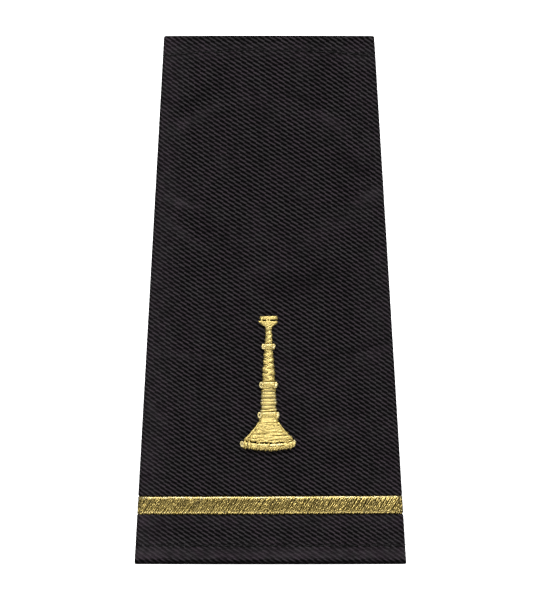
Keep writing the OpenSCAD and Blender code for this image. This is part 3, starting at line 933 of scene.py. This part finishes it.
def ring_stitches(name, wide, low):
    """A ring: long stitches over a bar, the top one proud, a few short ties down over the lower
    ones, and a loop of thread and a knob at its ends."""
    top = TRUMPET_FIELDS[name][0][DROP] + 0.02
    centre, breadth = (top + low) / 2, (low - top) / 2
    height, marks = RING_BARS.T
    drop = np.linspace(top + 0.2, low - 0.16, len(marks))
    slope = rng.normal(0, 0.03, len(marks))
    # The bars' marks paint the top one pale, as a highlight, and the lower ones darker, as shade
    parts = [stitch_rows(drop, wide - 0.4, 0.0, slope, height, marks)]
    count = round(wide / 0.42)
    x = np.linspace(-wide + 0.75, wide - 0.75, count)[:, None] + rng.normal(0, 0.1, (count, 1))
    v = np.linspace(-1, 1, 11)
    drop = centre + 0.18 + v * (breadth - 0.1) * (1 + rng.normal(0, 0.08, x.shape))
    height = -0.12 + (0.72 + rng.normal(0, 0.04, x.shape)) * arch_at(v)
    parts.append(laid(x + 0.2 * v, drop, height, 0.16 * MM, 0.14 * MM,
                      rng.random(count) * 0.6 - 0.3))
    parts.append(loop(0.4 - wide, centre, 0.25, breadth - 0.14, 0.0))
    parts.append(knob(wide - 0.42, centre, 0.27, breadth - 0.2, -0.1))
    return parts


def loop(x0, drop0, half, breadth, tilt):
    """A loop of thread round a small hollow, with a second loop under it on the cloth."""
    turn = np.linspace(0, 2.08 * math.pi, 31)
    x = x0 + half * np.cos(turn)
    drop = drop0 + breadth * np.sin(turn) + tilt * np.cos(turn)
    height = np.array([[0.1], [0.46]]) + 0.06 * np.sin(2 * turn)
    # Its marks paint the loop under it darker, as shade, and the upper loop pale, as a highlight
    return laid(x, drop, height, 0.17 * MM, 0.19 * MM, np.array([-0.5, 1.3]))


def knob(x0, drop0, half, breadth, tilt):
    """A few short stitches laid across a bar's end, bulging above it."""
    v = np.linspace(-1, 1, 4)[:, None]
    u = np.linspace(-1, 1, 11)
    x = x0 + u * half * np.sqrt(1.05 - v ** 2 * 0.8)
    height = -0.1 + 0.9 * arch_at(u, 4) * (1 - 0.2 * v ** 2)
    # Its marks paint the stitches pale, as a highlight
    return laid(x, drop0 + v * breadth + tilt * u, height, 0.17 * MM, 0.18 * MM,
                rng.random(len(v)) * 0.5 + 0.95)


def lip_parts():
    """The bell's lip: cords along a bar bent like a smile, short leaning stitches over their
    lower half, a loop at the left end and a knob at the right one."""
    return [lip_bar(), lip_cords(), lip_stitches(), lip_ties(),
            loop(-LIP_WIDE - 0.12, 25.45, 0.24, 0.44, 0.06),
            knob(LIP_WIDE - 0.12, 25.32, 0.26, 0.42, -0.16)]


def lip_at(x):
    """Drop of the lip's middle line, half its breadth and its thickness at x."""
    rows = np.array(LIP)
    return [np.interp(np.abs(x), rows[:, 0], rows[:, k]) for k in (1, 2, 3)]


def lip_bar():
    """The padding under the lip's threads."""
    x = np.linspace(-LIP_WIDE + 0.12, LIP_WIDE - 0.12, 40)[:, None]
    middle, breadth, rise = lip_at(x)
    v = -np.cos(np.linspace(0, math.pi, 13))
    height = 0.02 + (rise - 0.32) * np.sqrt(1 - v ** 2) * 0.9
    # Its mark paints the padding darker, as shade under the lip's threads
    return loft(mound(x, middle + v * breadth * 0.85, height), -0.5)


def lip_cords():
    """Four cords side by side, each of eight threads that overlap end to end."""
    pieces, steps = 8, 17
    v, peak, own = np.repeat(LIP_CORDS, pieces, axis=0).T[..., None]
    stops = np.linspace(-LIP_WIDE + 0.2, LIP_WIDE - 0.2, pieces + 1)
    left = np.tile(stops[:-1], len(LIP_CORDS))[:, None] + rng.normal(0, 0.22, v.shape)
    right = np.minimum(left + stops[1] - stops[0] + 0.2, LIP_WIDE - 0.15)
    left = np.maximum(left, -LIP_WIDE + 0.15)
    x = left + np.linspace(0, 1, steps) * (right - left)
    middle, breadth, rise = lip_at(x)
    run = np.linspace(-1, 1, steps)
    slant = rng.normal(0, 0.05, v.shape) * run
    height = rise - 0.92 + (peak + 0.1 + rng.normal(0, 0.04, v.shape)) * arch_at(run, 6)
    # The marks paint the upper cord lighter, as light, and the lower ones darker, as shade
    marks = own[:, 0] + rng.random(len(v)) * 0.35
    return laid(x, middle + v * breadth + slant, height, THREAD_R, 0.17 * MM, marks)


def lip_stitches():
    """Short leaning stitches over the cords' lower half, a few of them from above the cords."""
    x = np.arange(-LIP_WIDE + 0.3, LIP_WIDE - 0.2, 0.4)[:, None]
    x = x + rng.normal(0, 0.07, x.shape)
    middle, breadth, rise = lip_at(x)
    v = np.linspace(-1, 1, 15)
    start, end = rng.normal(-0.12, 0.08, x.shape), rng.normal(1.0, 0.14, x.shape)
    start = np.where(rng.random(x.shape) < 0.2, -1.4, start)
    drop = middle + (start + (end - start) * (v + 1) / 2) * breadth
    lean = 0.2 + rng.normal(0, 0.1, x.shape)
    height = -0.12 + (rise - 0.06 + rng.normal(0, 0.05, x.shape)) * arch_at(v)
    # Their marks, mostly below 0, paint them darker, as shade over the lip's lower half
    return laid(x - lean * v, drop, height, 0.17 * MM, THREAD_H, rng.random(len(x)) * 0.9 - 0.5)


def lip_ties():
    """A few short threads across the gap between the bell and its lip."""
    v = np.linspace(-1, 1, 11)
    x = LIP_TIE_X[:, None]
    sag = 0.3 * (1 - np.square(x / TRUMPET_FIELDS["bell"][-1][SPREAD]))
    height = -0.1 + 0.62 * arch_at(v, 3)
    return laid(x - 0.15 * v, 24.98 + sag + 0.4 * v, height, 0.15 * MM, 0.14 * MM,
                rng.random(len(x)))


def bell_edges():
    """A thread down each slanted side of the bell, over the ends of its rows."""
    drop = np.linspace(21.2, 24.5, 30)
    spread, rise, _ = field_at(TRUMPET_FIELDS["bell"], drop)
    x = np.array([[-1.0], [1.0]]) * (spread - 0.2)
    return laid(x, drop, rise - 0.5, THREAD_R, 0.16 * MM, np.array([0.7, 0.5]))


def field_parts(name):
    """One field of the trumpet: rows of satin stitch over padding, unless it is the mouthpiece,
    which has no padding, or a ring."""
    if name == "mouthpiece":
        return mouthpiece_parts()
    parts = [padding(TRUMPET_FIELDS[name])]
    if name == "lower_ring":
        drop, half, slope, height = LOWER_RING_ROWS.T
        parts.append(stitch_rows(drop, half, 0.0, slope, height))
    if name in RINGS:
        return parts + ring_stitches(name, *RINGS[name])
    parts += satin_rows(name)
    if name == "bell":
        parts.append(bell_edges())
    return parts


def build():
    """Makes every piece, and has it ride and stand for what it replaces."""
    cloth = twill("black_twill", light=(0.0290, 0.0262, 0.0284), dark=(0.0005, 0.0005, 0.0005),
                  contrast=0.1, relief=0.05 * MM)
    gold = gold_thread("gold_thread", bright=(0.76, 0.61, 0.21), deep=(0.34, 0.25, 0.06),
                       pale=(0.9, 0.85, 0.6), metal=0.65, rough=0.4, fuzz=0.8, coat=0.4)
    # The stripe's thread is the trumpet's thread, painted darker, as its slanted threads send less
    # light back
    shaded_gold = gold_thread("stripe_thread", bright=(0.56, 0.425, 0.118),
                           deep=(0.13, 0.093, 0.017), pale=(0.95, 0.9, 0.65), metal=0.85,
                           rough=0.32, fuzz=0.2, coat=0.6)
    thread = black_thread()
    sleeve = add_piece("twill_sleeve", cloth, [sleeve_parts()])
    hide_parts("sleeve")
    stitches = [add_piece("hem_stitches", thread, hem_stitches()),
                add_piece("seam_stitches", thread, seam_stitches())]
    stripe = add_piece("embroidered_stripe", shaded_gold, stripe_parts())
    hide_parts("stripe")
    for name in ("mouthpiece", *TRUMPET_FIELDS):
        piece = add_piece("embroidered_" + name, gold, field_parts(name))
        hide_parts(name)
    lip = add_piece("embroidered_bell_lip", gold, lip_parts())
    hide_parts("bell_lip")
    width = 2 * float(cloth_length(SEAM, -HALF_L))
    narrow = 2 * float(cloth_length(SEAM, HALF_L))


# The picture: what the photo measures, and each light's name, place and power
PHOTO_H = 600
PHOTO_SCALE = 5.034   # pixels to a millimetre
EYE_X = 0.05 * MM
FLOOR_HALF = 1.5
LIGHTS = [("key", (0.0, 0.85, 0.70), 32.0), ("fill", (0.0, -0.9, 0.6), 17.0)]
LIGHT_L, LIGHT_W = 2.0, 0.3
SKY_SEEN, SKY_LIGHT = 1.0, 0.06   # its strength in the picture, and as a light


def studio():
    """A pale floor, a large soft light from beyond the narrow mouth, a weaker one from the wide
    mouth's side, an even sky, and a camera straight above that frames the board as the photo."""
    scene = bpy.context.scene
    mesh = bpy.data.meshes.new("floor")
    half = FLOOR_HALF
    mesh.from_pydata([(-half, -half, 0), (half, -half, 0), (half, half, 0), (-half, half, 0)], [],
                     [(0, 1, 2, 3)])
    floor = bpy.data.objects.new("floor", mesh)
    floor.visible_glossy = False
    scene.collection.objects.link(floor)
    paper = Finish("floor_paper").surface(Base_Color=(0.93, 0.93, 0.93, 1), Roughness=0.9,
                                          Emission_Color=(1, 1, 1, 1), Emission_Strength=0.8)
    floor.data.materials.append(paper)
    for name, place, power in LIGHTS:
        light = bpy.data.lights.new(name, "AREA")
        light.shape = "RECTANGLE"
        light.size, light.size_y = LIGHT_L, LIGHT_W
        light.energy = power
        lamp = bpy.data.objects.new(name, light)
        lamp.location = place
        lamp.rotation_euler = (math.atan2(-place[1], place[2]), 0, 0)
        lamp.visible_camera = False
        scene.collection.objects.link(lamp)
    world = bpy.data.worlds.new("sky")
    world.use_nodes = True
    sky = world.node_tree.nodes["Background"]
    sky.inputs[0].default_value = (1, 1, 1, 1)
    path = world.node_tree.nodes.new("ShaderNodeLightPath")
    seen = Wire(world.node_tree, path.outputs["Is Camera Ray"])
    join(world.node_tree, seen * (SKY_SEEN - SKY_LIGHT) + SKY_LIGHT, sky.inputs[1])
    scene.world = world
    scene.view_settings.view_transform = "Standard"

    camera = bpy.data.cameras.new("camera")
    camera.lens = 1400
    camera.sensor_width = 36
    distance = PHOTO_H / PHOTO_SCALE * MM * camera.lens / camera.sensor_width
    eye = bpy.data.objects.new("camera", camera)
    eye.location = (EYE_X, 0.0, distance + CROWN_H / 2)
    scene.collection.objects.link(eye)
    scene.camera = eye


build()
studio()
